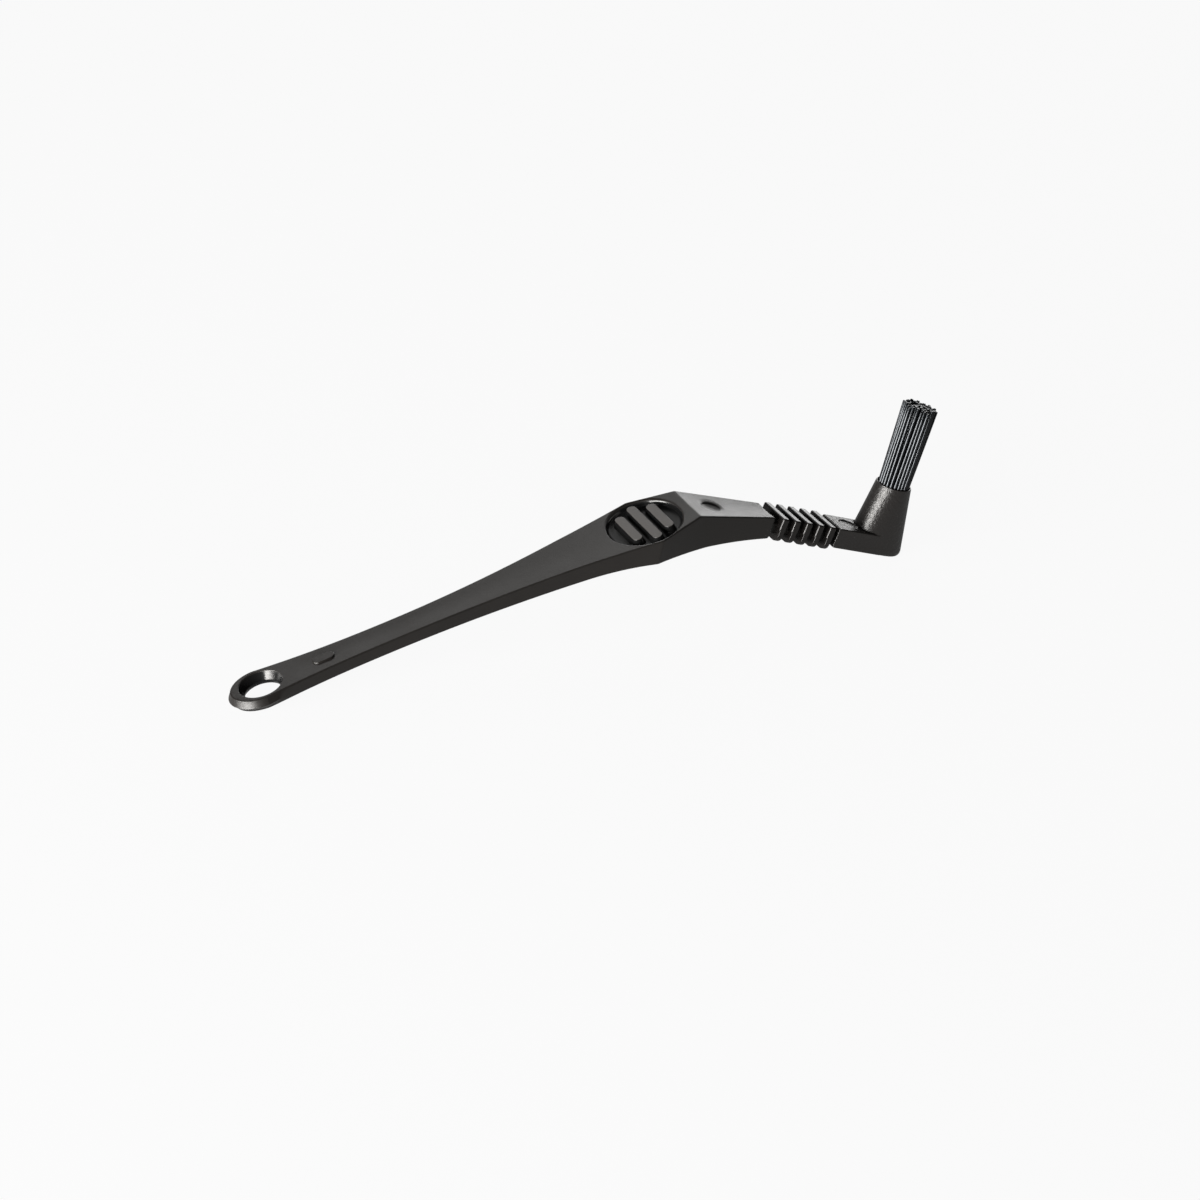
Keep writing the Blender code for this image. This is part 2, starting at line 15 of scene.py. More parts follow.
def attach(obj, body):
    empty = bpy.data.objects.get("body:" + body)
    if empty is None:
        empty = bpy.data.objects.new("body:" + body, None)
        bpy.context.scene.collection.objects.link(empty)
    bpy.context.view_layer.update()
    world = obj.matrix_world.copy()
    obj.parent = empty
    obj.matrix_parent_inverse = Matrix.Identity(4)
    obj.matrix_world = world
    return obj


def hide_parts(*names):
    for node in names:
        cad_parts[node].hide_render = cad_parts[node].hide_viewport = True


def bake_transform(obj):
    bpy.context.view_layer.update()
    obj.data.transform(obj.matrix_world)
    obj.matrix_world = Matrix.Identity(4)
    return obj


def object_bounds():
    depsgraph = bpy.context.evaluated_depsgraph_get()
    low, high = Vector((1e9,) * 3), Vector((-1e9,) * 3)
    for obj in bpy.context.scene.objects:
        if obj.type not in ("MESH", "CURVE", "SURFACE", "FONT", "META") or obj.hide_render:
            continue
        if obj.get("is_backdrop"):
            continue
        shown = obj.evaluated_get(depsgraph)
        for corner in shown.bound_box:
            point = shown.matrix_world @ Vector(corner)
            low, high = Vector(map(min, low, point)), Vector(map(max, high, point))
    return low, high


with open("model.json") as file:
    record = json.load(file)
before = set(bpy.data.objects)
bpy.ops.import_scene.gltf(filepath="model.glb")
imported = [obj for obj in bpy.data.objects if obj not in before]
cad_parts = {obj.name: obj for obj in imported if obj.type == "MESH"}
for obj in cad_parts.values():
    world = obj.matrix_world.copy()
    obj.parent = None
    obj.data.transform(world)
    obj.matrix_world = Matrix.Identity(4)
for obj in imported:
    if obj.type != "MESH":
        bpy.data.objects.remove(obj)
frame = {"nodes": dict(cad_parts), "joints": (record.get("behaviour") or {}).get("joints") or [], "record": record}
CAD_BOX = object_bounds()
MM = 0.001
print("CAD box", [[round(value, 4) for value in corner] for corner in CAD_BOX])

# %% [markdown]
# The camera stands to the left of the brush and above it, and looks along the handle. A long lens
# keeps the perspective mild, as in a product photograph. Its place, its aim and its slight roll are
# the only values that decide the view.

# %% Camera
CAMERA_PLACE = Vector((-0.249175, -0.518661, 0.348377))
CAMERA_AIM = Vector((0.000861, 0.0, 0.006988))
CAMERA_ROLL = math.radians(0.65)
SENSOR_WIDTH_MM = 36.0
LENS_MM = 69.22

camera_data = bpy.data.cameras.new("camera")
camera_data.sensor_width = SENSOR_WIDTH_MM
camera_data.lens = LENS_MM
camera_data.clip_start = 0.01
camera = bpy.data.objects.new("camera", camera_data)
bpy.context.scene.collection.objects.link(camera)
gaze = (CAMERA_AIM - CAMERA_PLACE).to_track_quat("-Z", "Y").to_matrix().to_4x4()
camera.matrix_world = Matrix.Translation(CAMERA_PLACE) @ gaze @ Matrix.Rotation(CAMERA_ROLL, 4, "Z")
bpy.context.scene.camera = camera
print("camera distance", round((CAMERA_AIM - CAMERA_PLACE).length, 3))

# %% [markdown]
# Two drawing frames make the sizes easy to read, because the finished brush lies tilted. The brush
# frame has the hanging hole at its origin and the bar's flat top at height zero. The neck frame
# starts where the arm ends and runs down the neck's top line. Both are found from the packed
# record: the ring's top face gives the tilt of the bar, and the six hinges give the line of the neck.

# %% Drawing frames
RING_FACE_MIDDLE_X = -7.05 * MM
ARM_GAP = 2.2 * MM
CORE_AXIS_BELOW = 3.7 * MM

mounts = {mount["name"]: mount for mount in frame["record"]["mounts"]}
ring_top = mounts["ring_top_face"]
bar_tilt = math.atan2(-ring_top["axis"][0], ring_top["axis"][2])
BRUSH_PLACE = (Matrix.Translation(ring_top["pos_m"]) @ Matrix.Rotation(-bar_tilt, 4, "Y")
               @ Matrix.Translation((-RING_FACE_MIDDLE_X, 0, 0)))

hinges = [Vector(joint["pos_m"]) for joint in frame["joints"]]
neck_line = hinges[-1] - hinges[0]
neck_pitch = math.atan2(-neck_line.z, neck_line.x)
NECK_PLACE = (Matrix.Translation(hinges[0]) @ Matrix.Rotation(neck_pitch, 4, "Y")
              @ Matrix.Translation((-ARM_GAP / 2, 0, CORE_AXIS_BELOW)))
arm_end = BRUSH_PLACE.inverted() @ NECK_PLACE.translation
print("bar rises %.2f degrees, neck falls %.2f" % (math.degrees(bar_tilt), math.degrees(neck_pitch)))
print("arm ends at x %.2f z %.2f mm in the brush frame" % (arm_end.x / MM, arm_end.z / MM))

# %% [markdown]
# Every piece starts from one of Blender's primitives and is shaped in edit mode. An operator works on
# whatever is selected, so these small helpers deselect everything first and then pick corners, edges
# or faces by a rule. The main one, raise_layer, extrudes the picked faces and lets a function say
# where each new corner goes: that is how a flat outline grows into a moulded body, layer by layer.

# %% Modelling helpers
def drop_selection():
    for thing in list(bpy.context.selected_objects):
        thing.select_set(False)


def open_piece(name):
    """Name the newest primitive and enter edit mode with all its faces selected."""
    piece = bpy.context.object
    piece.name = name
    piece.data.name = name
    bpy.ops.object.mode_set(mode="EDIT")
    bpy.ops.mesh.select_mode(type="FACE")
    bpy.ops.mesh.select_all(action="SELECT")
    return piece


def shape_selected(piece, shape):
    work = bmesh.from_edit_mesh(piece.data)
    for corner in work.verts:
        if corner.select:
            shape(corner)
    bmesh.update_edit_mesh(piece.data)


def raise_layer(piece, shape):
    bpy.ops.mesh.extrude_region_move()
    shape_selected(piece, shape)


def close_piece():
    """Leave edit mode with all faces turned outwards."""
    bpy.ops.mesh.select_all(action="SELECT")
    bpy.ops.mesh.normals_make_consistent(inside=False)
    bpy.ops.object.mode_set(mode="OBJECT")


# %% [markdown]
# Most small forms of a moulding are an outline with layers: a grip bar, a neck rib, a pad. The
# outline starts as a filled circle with as many corners as the outline has points. A number on each
# corner remembers its place in the outline, and an extrusion copies that number upwards.

# %% Mouldings from an outline
def moulded(name, spots, layers):
    """Raise a flat face through layers. A layer gives the place of any spot of the outline."""
    drop_selection()
    bpy.ops.mesh.primitive_circle_add(vertices=len(spots), radius=MM, fill_type="NGON")
    piece = open_piece(name)
    work = bmesh.from_edit_mesh(piece.data)
    order = work.verts.layers.int.new("spot")
    for place, corner in enumerate(work.verts):
        corner[order] = place
    bmesh.update_edit_mesh(piece.data)

    def follow(layer):
        def shape(corner):
            marks = bmesh.from_edit_mesh(piece.data).verts.layers.int["spot"]
            corner.co = layer(spots[corner[marks]])
        return shape

    shape_selected(piece, follow(layers[0]))
    for layer in layers[1:]:
        raise_layer(piece, follow(layer))
    close_piece()
    return piece


def circle_spots(steps):
    """Points round a circle of radius one."""
    turns = [2 * math.pi * step / steps for step in range(steps)]
    return [(math.cos(turn), math.sin(turn)) for turn in turns]


def turned(name, profile, steps=96, stretch=1.0, shift=0.0):
    """A lathe shape: a profile of (radius, height) points in mm, raised about Z."""
    def layer(radius, height):
        def place(spot):
            return Vector((spot[0] * radius * stretch + shift, spot[1] * radius, height)) * MM
        return place

    return moulded(name, circle_spots(steps), [layer(radius, height) for radius, height in profile])


def quarter(steps=4):
    """Pairs (sin, cos) through a quarter turn, for fillets."""
    return [(math.sin(math.pi / 2 * step / steps), math.cos(math.pi / 2 * step / steps))
            for step in range(steps + 1)]


# %% [markdown]
# Holes and hollows are cut with a Boolean modifier, and raised details are joined with one. The tool
# piece is used up. Then the edges are shaded smooth up to an angle, and Weighted Normal makes large
# flat faces win over the narrow fillets beside them, so that a flat top reflects like a flat top.

# %% Joining, cutting and finishing
def combine(piece, tool, operation):
    drop_selection()
    bpy.context.view_layer.objects.active = piece
    piece.select_set(True)
    modifier = piece.modifiers.new(tool.name, "BOOLEAN")
    modifier.operation = operation
    modifier.solver = "EXACT"
    modifier.object = tool
    bpy.ops.object.modifier_apply(modifier=modifier.name)
    bpy.data.objects.remove(tool, do_unlink=True)


def put(piece, place):
    """Move a mesh into another frame and leave its object at the origin."""
    drop_selection()
    bpy.context.view_layer.update()
    bpy.context.view_layer.objects.active = piece
    piece.select_set(True)
    piece.matrix_world = place @ piece.matrix_world
    bpy.ops.object.transform_apply(location=True, rotation=True, scale=True)
    return piece


def smooth(piece, crease_degrees=38, weighted=True):
    drop_selection()
    bpy.context.view_layer.objects.active = piece
    piece.select_set(True)
    bpy.ops.object.shade_smooth_by_angle(angle=math.radians(crease_degrees), keep_sharp_edges=False)
    if weighted:
        modifier = piece.modifiers.new("weighted", "WEIGHTED_NORMAL")
        modifier.keep_sharp = True
        bpy.ops.object.modifier_apply(modifier=modifier.name)
    print(piece.name, len(piece.data.vertices), "corners", len(piece.data.polygons), "faces")


# %% [markdown]
# The handle is one moulding. From above it is a ladder: rungs from the round tail to the end of the
# arm, as wide as the bar is there. From the side its top sags a little between ring and dish, breaks
# at the nose and falls along the arm, while its belly swings down in a long curve. These few
# functions say so, and everything about the handle is placed through them.

# %% Handle lines, in mm
HOLE_TO_TAIL = 8.5
RING_HALF = 7.2
WAIST_X, WAIST_HALF = 40.0, 4.95
DISH_X, SHOULDER_HALF = 119.5, 12.6
NOSE_X, NOSE_HALF = 133.7, 8.7
BELLY_X = 95.0
ARM_END_X, ARM_END_Z = arm_end.x / MM, arm_end.z / MM
ARM_END_HALF = 5.1
ARM_END_THICKNESS = 6.9
RING_THICKNESS, BAR_THICKNESS = 4.0, 5.25
BAR_SAG = 0.5
NECK_FALL = neck_pitch + bar_tilt
ARM_FALL = -ARM_END_Z / (ARM_END_X - NOSE_X)
FOOT_X = ARM_END_X - ARM_END_THICKNESS * math.sin(NECK_FALL)
FOOT_Z = ARM_END_Z - ARM_END_THICKNESS * math.cos(NECK_FALL)
BELLY_RISE = (FOOT_Z + BAR_THICKNESS) / (FOOT_X - BELLY_X) ** 2
CORNER_ROUNDING = 0.35
TAIL_FLARE_POWER = 2.4
SHOULDER_RAKE, RAKE_REACH = 3.0, 30


def rounded(line, x):
    """A line whose kinks are rounded, by averaging it over a short reach."""
    samples = [line(x + CORNER_ROUNDING * step / 3) for step in range(-3, 4)]
    return sum(samples) / len(samples)


def half_width_line(x):
    if x < WAIST_X:
        flare = ((WAIST_X - max(x, 0)) / WAIST_X) ** TAIL_FLARE_POWER
        return WAIST_HALF + (RING_HALF - WAIST_HALF) * flare
    if x < DISH_X:
        return WAIST_HALF + (SHOULDER_HALF - WAIST_HALF) * ((x - WAIST_X) / (DISH_X - WAIST_X)) ** 2
    if x < NOSE_X:
        return SHOULDER_HALF + (NOSE_HALF - SHOULDER_HALF) * (x - DISH_X) / (NOSE_X - DISH_X)
    return NOSE_HALF + (ARM_END_HALF - NOSE_HALF) * (x - NOSE_X) / (ARM_END_X - NOSE_X)


def half_width(x):
    if x < 0:
        return RING_HALF * math.sqrt(max(0, 1 - (x / HOLE_TO_TAIL) ** 2))
    return rounded(half_width_line, x)


def top_line(x):
    if 0 < x < BELLY_X:
        return -BAR_SAG * math.sin(math.pi * x / BELLY_X)
    return -ARM_FALL * max(0, x - NOSE_X)


def bottom_line(x):
    slope = (BAR_THICKNESS - RING_THICKNESS) / BELLY_X
    if x < BELLY_X:
        return -RING_THICKNESS - slope * max(0, x)
    return -BAR_THICKNESS + BELLY_RISE * (x - BELLY_X) ** 2


def rake(x):
    """How far the foot of the wall leans back from its top: most of all at the shoulder."""
    if x < DISH_X:
        return SHOULDER_RAKE * max(0, 1 - (DISH_X - x) / RAKE_REACH) ** 2
    return SHOULDER_RAKE * max(0, (NOSE_X - x) / (NOSE_X - DISH_X))


def ease(low, high, x):
    share = min(1, max(0, (x - low) / (high - low)))
    return share * share * (3 - 2 * share)


# %% [markdown]
# The walls of the real handle are drafted both ways from a parting line at mid height, so that it
# leaves its two mould halves. Round the tail the draft is strong and the wall stands out like a keel.
# The top edge has a small fillet, the bottom edge a larger one, and the arm's front end is rounded.
# A plain box with a Bevel modifier could not change its draft on the way, so a grid is raised through
# eleven layers instead: five for the lower fillet, one at the parting line and five for the upper
# fillet. The rungs of the ladder lie closer together where the outline turns.

# %% Handle moulding
TOP_FILLET, BOTTOM_FILLET, END_FILLET = 0.48, 0.75, 0.6
TAIL_KEEL, FLANK_KEEL, KEEL_ENDS = 0.95, 0.09, (-1, 9)
TAIL_TUCK, TUCK_ENDS = 0.3, (-4, 4)
ARM_HOLLOW, BAR_HOLLOW = 0.24, 0.15
ARM_HOLLOW_RUN_IN, BAR_HOLLOW_RUN_IN = 4, 20
SLOPE_REACH = 0.3
TAIL_RUNGS, FLANK_RUNGS, CHEEK_RUNGS, ARM_RUNGS, END_RUNGS = 26, 56, 6, 14, 5
COLUMNS = 4

end_steps = [END_FILLET * (1 - math.sin(math.pi / 2 * step / END_RUNGS))
             for step in range(END_RUNGS + 1)]
tail_xs = [-HOLE_TO_TAIL * math.sin(math.pi / 2 * (step - 0.5) / TAIL_RUNGS)
           for step in range(TAIL_RUNGS, 0, -1)]
flank_xs = [DISH_X * step / FLANK_RUNGS for step in range(FLANK_RUNGS)]
corner_steps = [CORNER_ROUNDING * step / 3 for step in range(-4, 5)]
shoulder_xs = [DISH_X + step for step in corner_steps]
cheek_xs = [DISH_X + (NOSE_X - DISH_X) * step / CHEEK_RUNGS for step in range(1, CHEEK_RUNGS)]
nose_xs = [NOSE_X + step for step in corner_steps]
arm_run = ARM_END_X - NOSE_X
arm_xs = [NOSE_X + arm_run * step / ARM_RUNGS for step in range(1, ARM_RUNGS)]
end_xs = [ARM_END_X - step for step in end_steps]
rungs = [(x, 0.0) for x in tail_xs + flank_xs[:-1] + shoulder_xs + cheek_xs + nose_xs + arm_xs]
rungs += [(x, END_FILLET - math.sqrt(max(0, END_FILLET ** 2 - (END_FILLET - step) ** 2)))
          for x, step in zip(end_xs, end_steps)]


def plan_normal(x):
    """Which way the outline faces, seen from above."""
    if x < 0:
        normal = Vector((x / HOLE_TO_TAIL ** 2, half_width(x) / RING_HALF ** 2))
    else:
        narrowing = half_width(x - SLOPE_REACH) - half_width(x + SLOPE_REACH)
        normal = Vector((narrowing, 2 * SLOPE_REACH))
    return normal.normalized()


def keel(x):
    return FLANK_KEEL + (TAIL_KEEL - FLANK_KEEL) * (1 - ease(*KEEL_ENDS, x))


def hollow(x, across):
    """How far the top dips between its edges."""
    on_arm = ease(NOSE_X, NOSE_X + ARM_HOLLOW_RUN_IN, x)
    depth = BAR_HOLLOW + (ARM_HOLLOW - BAR_HOLLOW) * on_arm
    return depth * (1 - across ** 2) * ease(0, BAR_HOLLOW_RUN_IN, x)


def handle_layer(share, lift, inset):
    """One layer: its share of the thickness, a lift in mm from there, and its inset."""
    stand_out = 1 - abs(2 * share - 1)

    def place(rung, column):
        x, end_inset = rungs[rung]
        across = 2 * column / COLUMNS - 1
        bottom_x = x - rake(x)
        if x > NOSE_X:
            bottom_x = NOSE_X + (x - NOSE_X) * (FOOT_X - NOSE_X) / arm_run
        top = Vector((x, rounded(top_line, x)))
        bottom = Vector((bottom_x, bottom_line(bottom_x)))
        up = (top - bottom).normalized()
        spot = bottom + (top - bottom) * share + up * (lift + end_inset * (1 - 2 * share))
        if share == 1:
            spot -= up * hollow(x, across)
        unraked_x = spot.x + rake(x) * (1 - share)
        normal = plan_normal(unraked_x)
        tail_tuck = TAIL_TUCK * (1 - share) * (1 - ease(*TUCK_ENDS, x))
        inward = inset + tail_tuck - keel(x) * stand_out
        half = half_width(unraked_x) - end_inset - inward * normal.y
        return Vector((spot.x - inward * normal.x, across * half, spot.y)) * MM

    return place


handle_layers = [handle_layer(0, BOTTOM_FILLET * (1 - up), BOTTOM_FILLET * (1 - out))
                 for out, up in quarter(4)]
handle_layers += [handle_layer(0.5, 0, 0)]
handle_layers += [handle_layer(1, -TOP_FILLET * (1 - up), TOP_FILLET * (1 - out))
                  for up, out in quarter(4)]

drop_selection()
bpy.ops.mesh.primitive_grid_add(x_subdivisions=len(rungs) - 1, y_subdivisions=COLUMNS, size=2)
handle = open_piece("handle_body")
work = bmesh.from_edit_mesh(handle.data)
rung_mark = work.verts.layers.int.new("rung")
column_mark = work.verts.layers.int.new("column")
for corner in work.verts:
    corner[rung_mark] = round((corner.co.x + 1) / 2 * (len(rungs) - 1))
    corner[column_mark] = round((corner.co.y + 1) / 2 * COLUMNS)
bmesh.update_edit_mesh(handle.data)


def handle_shape(layer):
    def shape(corner):
        marks = bmesh.from_edit_mesh(handle.data).verts.layers.int
        corner.co = layer(corner[marks["rung"]], corner[marks["column"]])
    return shape


shape_selected(handle, handle_shape(handle_layers[0]))
for layer in handle_layers[1:]:
    raise_layer(handle, handle_shape(layer))
close_piece()
print("handle moulding", len(handle.data.vertices), "corners")

# %% [markdown]
# The hanging hole is drilled with a turned tool that has the hole's own profile. It is a funnel: a
# rounded lip above, a wall that draws in to the throat, a faint ridge where the two mould halves met,
# and a short flare below. The hole is a slight oval, so the tool is stretched along the bar.

# %% Hanging hole
HOLE_RIM, LIP, THROAT = 6.15, 0.35, 4.7
HOLE_STRETCH, HOLE_SHIFT = 1.06, 0.30
above_the_top = [(HOLE_RIM + 0.25, 1.5), (HOLE_RIM + 0.03, 0.05)]
lip = [(HOLE_RIM - LIP * out, -LIP * (1 - up)) for up, out in reversed(quarter(4))]
throat_ridge = [(THROAT + 0.06, -2.45), (THROAT, -2.6), (THROAT + 0.04, -2.75)]
flare_below = [(5.1, -3.7), (5.35, -4.05), (5.9, -5.4)]
hole_profile = above_the_top + lip + throat_ridge + flare_below
combine(handle, turned("hole_tool", hole_profile, 96, HOLE_STRETCH, HOLE_SHIFT), "DIFFERENCE")

# %% [markdown]
# The thumb dish is round and shallow. Its rim starts with a broad, gentle bevel, which catches a light
# line, and then rolls over into a steep wall. The wall runs in a generous hollow into a flat floor.
# A sphere would give a bowl without a floor, so this hollow too is cut with a turned tool.

# %% Thumb dish
DISH_RADIUS, DISH_DEPTH = 10.95, 2.2
WALL_HOLLOW, WALL_HOLLOW_TOP = 2.1, -1.25
RIM_ROLL = [(1.15, 0.0), (1.06, -0.02), (0.95, -0.055), (0.55, -0.23), (0.43, -0.31),
            (0.28, -0.50), (0.14, -0.78), (0.04, -1.10)]
mouth_radius = DISH_RADIUS + RIM_ROLL[0][0] + 0.06
dish_profile = [(mouth_radius, 1.0), (mouth_radius, 0.01)]
dish_profile += [(DISH_RADIUS + out, height) for out, height in RIM_ROLL]
dish_profile += [(DISH_RADIUS - WALL_HOLLOW * (1 - out),
                  -DISH_DEPTH + (DISH_DEPTH + WALL_HOLLOW_TOP) * (1 - up))
                 for up, out in quarter(9)]
dish = turned("dish_tool", dish_profile, 112)
dish.location.x = DISH_X * MM
combine(handle, dish, "DIFFERENCE")

# %% [markdown]
# The raised details of the handle share one form, a stadium: two straight sides and two round ends.
# One function gives its outline and another raises it, with a foot fillet, drafted walls and rounded
# top edges. A bar starts below the surface that it stands on, so that the union has no face in
# common with it.

# %% Stadium outlines
def stadium(length, width, steps=12):
    """Points and outward normals of a bar with round ends, long side along Y, in mm."""
    reach = (length - width) / 2
    spots = []
    for end in (1, -1):
        for step in range(steps + 1):
            turn = math.pi * step / steps + (0 if end > 0 else math.pi)
            normal = Vector((math.cos(turn), math.sin(turn)))
            spots.append((normal * width / 2 + Vector((0, end * reach)), normal))
    return spots


def outline_layer(height, inset):
    def place(spot):
        point = spot[0] - spot[1] * inset
        return Vector((point.x, point.y, height)) * MM
    return place


FOOT_FILLET, FOOT_SINK, SMALL_FILLET = 0.5, 0.4, 0.22


def rounded_bar(name, length, width, foot, top, draft):
    """A bar from foot to top height, wider at its foot, with rounded top edges."""
    spread = -draft - FOOT_FILLET
    layers = [outline_layer(foot - FOOT_SINK, spread), outline_layer(foot, spread)]
    layers += [outline_layer(foot + FOOT_FILLET * (1 - out), spread + FOOT_FILLET * up)
               for up, out in quarter(5)[1:]]
    layers += [outline_layer(top - SMALL_FILLET * (1 - up), SMALL_FILLET * (1 - out))
               for up, out in quarter(4)]
    return moulded(name, stadium(length, width), layers)


# %% [markdown]
# A thumb needs something to push against, so three plain grip bars stand in the dish, as high as its
# rim. Their ends lie near one circle, which makes the middle bar the longest, and a loop can place
# all three.

# %% Grip bars
GRIP_WIDTH, GRIP_PITCH, GRIP_REACH, GRIP_DRAFT = 3.0, 5.1, 9.2, 0.35
grip_offsets = [-GRIP_PITCH, 0.0, GRIP_PITCH]
for offset in grip_offsets:
    length = 2 * math.sqrt(GRIP_REACH ** 2 - (abs(offset) + GRIP_WIDTH / 2) ** 2) + GRIP_WIDTH / 2
    bar = rounded_bar("grip_bar", length, GRIP_WIDTH, -DISH_DEPTH, 0.0, GRIP_DRAFT)
    bar.location.x = (DISH_X + offset) * MM
    combine(handle, bar, "UNION")
print("grip bars joined:", len(grip_offsets))

# %% [markdown]
# Near the ring stands a small raised pad. It is a low stadium with a soft edge, sunk a little into
# the bar's sagging top so that no gap shows.

# %% Small pad by the ring
PAD_X, PAD_LENGTH, PAD_WIDTH, PAD_HEIGHT = 19.0, 6.4, 3.4, 0.50
PAD_FOOT, PAD_DRAFT = -0.4, 0.10
pad = rounded_bar("pad", PAD_LENGTH, PAD_WIDTH, PAD_FOOT, PAD_HEIGHT, PAD_DRAFT)
pad.rotation_euler.z = math.pi / 2
pad.location = Vector((PAD_X, 0, top_line(PAD_X) - BAR_HOLLOW)) * MM
put(pad, Matrix.Identity(4))
combine(handle, pad, "UNION")

# %% [markdown]
# Two round dimples mark the arm and the head: shallow bowls with a softly rolled lip, wide on the arm
# and narrow on the head. One function makes both cutting tools, and a tool is tilted to the arm's
# slope before it cuts.

# %% Dimples
DIMPLE_RADIUS, BOWL_STEP = 3.0, 0.12
LEAST_LIP_DROP, LIP_DROP_PER_WIDTH = 0.1, 0.12
ARM_DIMPLE_FROM_NOSE, ARM_DIMPLE_DEPTH, ARM_DIMPLE_LIP = 8.2, 1.0, 1.5


def dimple_tool(name, depth, lip):
    """A bowl under a lip that is rolled over a width of its own."""
    lip_drop = LEAST_LIP_DROP + LIP_DROP_PER_WIDTH * lip
    bowl_top = lip_drop + BOWL_STEP
    profile = [(DIMPLE_RADIUS + lip, 1.0), (DIMPLE_RADIUS + lip, 0.03)]
    profile += [(DIMPLE_RADIUS + lip * (1 - step / 5), -lip_drop * (step / 5) ** 2)
                for step in range(6)]
    for step in range(8):
        turn = math.pi / 2 * step / 8
        profile.append(((DIMPLE_RADIUS - BOWL_STEP) * math.cos(turn),
                        -bowl_top - (depth - bowl_top) * math.sin(turn)))
    return turned(name, profile, 64)


arm_pitch = math.atan(ARM_FALL)
arm_dimple = dimple_tool("arm_dimple_tool", ARM_DIMPLE_DEPTH, ARM_DIMPLE_LIP)
arm_dimple.location = Vector((NOSE_X + ARM_DIMPLE_FROM_NOSE * math.cos(arm_pitch), 0,
                              -ARM_DIMPLE_FROM_NOSE * math.sin(arm_pitch) - ARM_HOLLOW)) * MM
arm_dimple.rotation_euler.y = arm_pitch
put(arm_dimple, Matrix.Identity(4))
combine(handle, arm_dimple, "DIFFERENCE")
put(handle, BRUSH_PLACE)
smooth(handle)
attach(handle, "handle")
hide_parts("handle")

# %% [markdown]
# The neck bends because it is mostly gaps: five ribs on a flat core. A rib is a tile with square
# upper corners and round lower ones. Its upper half is a little thicker than its lower half, and its
# rear edges are rolled, the top one most of all, which is why each rib shows one light strip.

# %% Rib outline
RIB_HALF, RIB_TOP, RIB_BOTTOM = 6.15, 0.30, -7.5
RIB_THICKNESS, RIB_PITCH, RIB_COUNT = 2.05, 4.40, 5
RIB_STEP_Z, RIB_STEP, LOWER_TOP = -3.75, 0.35, -0.6
RIB_LOW_RADIUS, RIB_HIGH_RADIUS, STEP_RADIUS = 2.2, 0.55, 0.35
RIB_FRONT_ROLL = 0.15
LOWER_INSET, LOWER_FRONT_INSET, LOWER_ROLL = 0.05, 0.04, 0.22
UPPER_SIDE_ROLL, UPPER_TOP_ROLL = 0.85, 0.5


def tile_outline(half, top, bottom, low_radius, high_radius, steps=8):
    """A tile in the Y-Z plane with round lower corners and barely round upper ones."""
    corners = [(half, top, high_radius, 0), (-half, top, high_radius, 1),
               (-half, bottom, low_radius, 2), (half, bottom, low_radius, 3)]
    spots = []
    for y, z, radius, turn in corners:
        middle = Vector((y - math.copysign(radius, y), z - radius if turn < 2 else z + radius))
        for step in range(steps + 1):
            angle = math.pi / 2 * (turn + step / steps)
            normal = Vector((math.cos(angle), math.sin(angle)))
            spots.append((middle + normal * radius, normal))
    return spots


def rib_layer(x, side_inset, top_inset):
    """A slice across the neck, drawn in by one amount at the sides and another at the top."""
    def place(spot):
        point, normal = spot
        inset = side_inset + (top_inset - side_inset) * max(0, normal.y) ** 2
        return Vector((x, point.x - normal.x * inset, point.y - normal.y * inset)) * MM
    return place


def rib_slab(name, start, end, outline, side_roll, top_roll, front_roll):
    """A slab across the neck with a large roll round its rear face and a small one in front."""
    layers = [rib_layer(start + top_roll * (1 - up), side_roll * (1 - out), top_roll * (1 - out))
              for out, up in quarter(5)]
    layers += [rib_layer(end - front_roll * (1 - up), front_roll * (1 - out), front_roll * (1 - out))
               for up, out in quarter(3)]
    return moulded(name, outline, layers)


# %% [markdown]
# The two halves of a rib are two slabs that overlap, joined by a union. The lower one is a hair
# smaller all round, so that no two faces lie in one plane, where a union can go wrong.

# %% Ribs
link_names = ["neck_link_%d" % (place + 1) for place in range(RIB_COUNT)]
lower_outline = tile_outline(RIB_HALF - LOWER_INSET, LOWER_TOP, RIB_BOTTOM,
                             RIB_LOW_RADIUS, RIB_HIGH_RADIUS)
upper_outline = tile_outline(RIB_HALF, RIB_TOP, RIB_STEP_Z, STEP_RADIUS, RIB_HIGH_RADIUS)
ribs = []
for place, node in enumerate(link_names):
    start = ARM_GAP / MM + RIB_PITCH * place
    end = start + RIB_THICKNESS
    rib = rib_slab("rib_%d" % (place + 1), start + RIB_STEP, end - LOWER_FRONT_INSET, lower_outline,
                   LOWER_ROLL, LOWER_ROLL, RIB_FRONT_ROLL)
    upper = rib_slab("upper", start, end, upper_outline, UPPER_SIDE_ROLL, UPPER_TOP_ROLL,
                     RIB_FRONT_ROLL)
    combine(rib, upper, "UNION")
    put(rib, NECK_PLACE)
    smooth(rib)
    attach(rib, "link_%d" % (place + 1))
    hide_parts(node)
    ribs.append(rib)
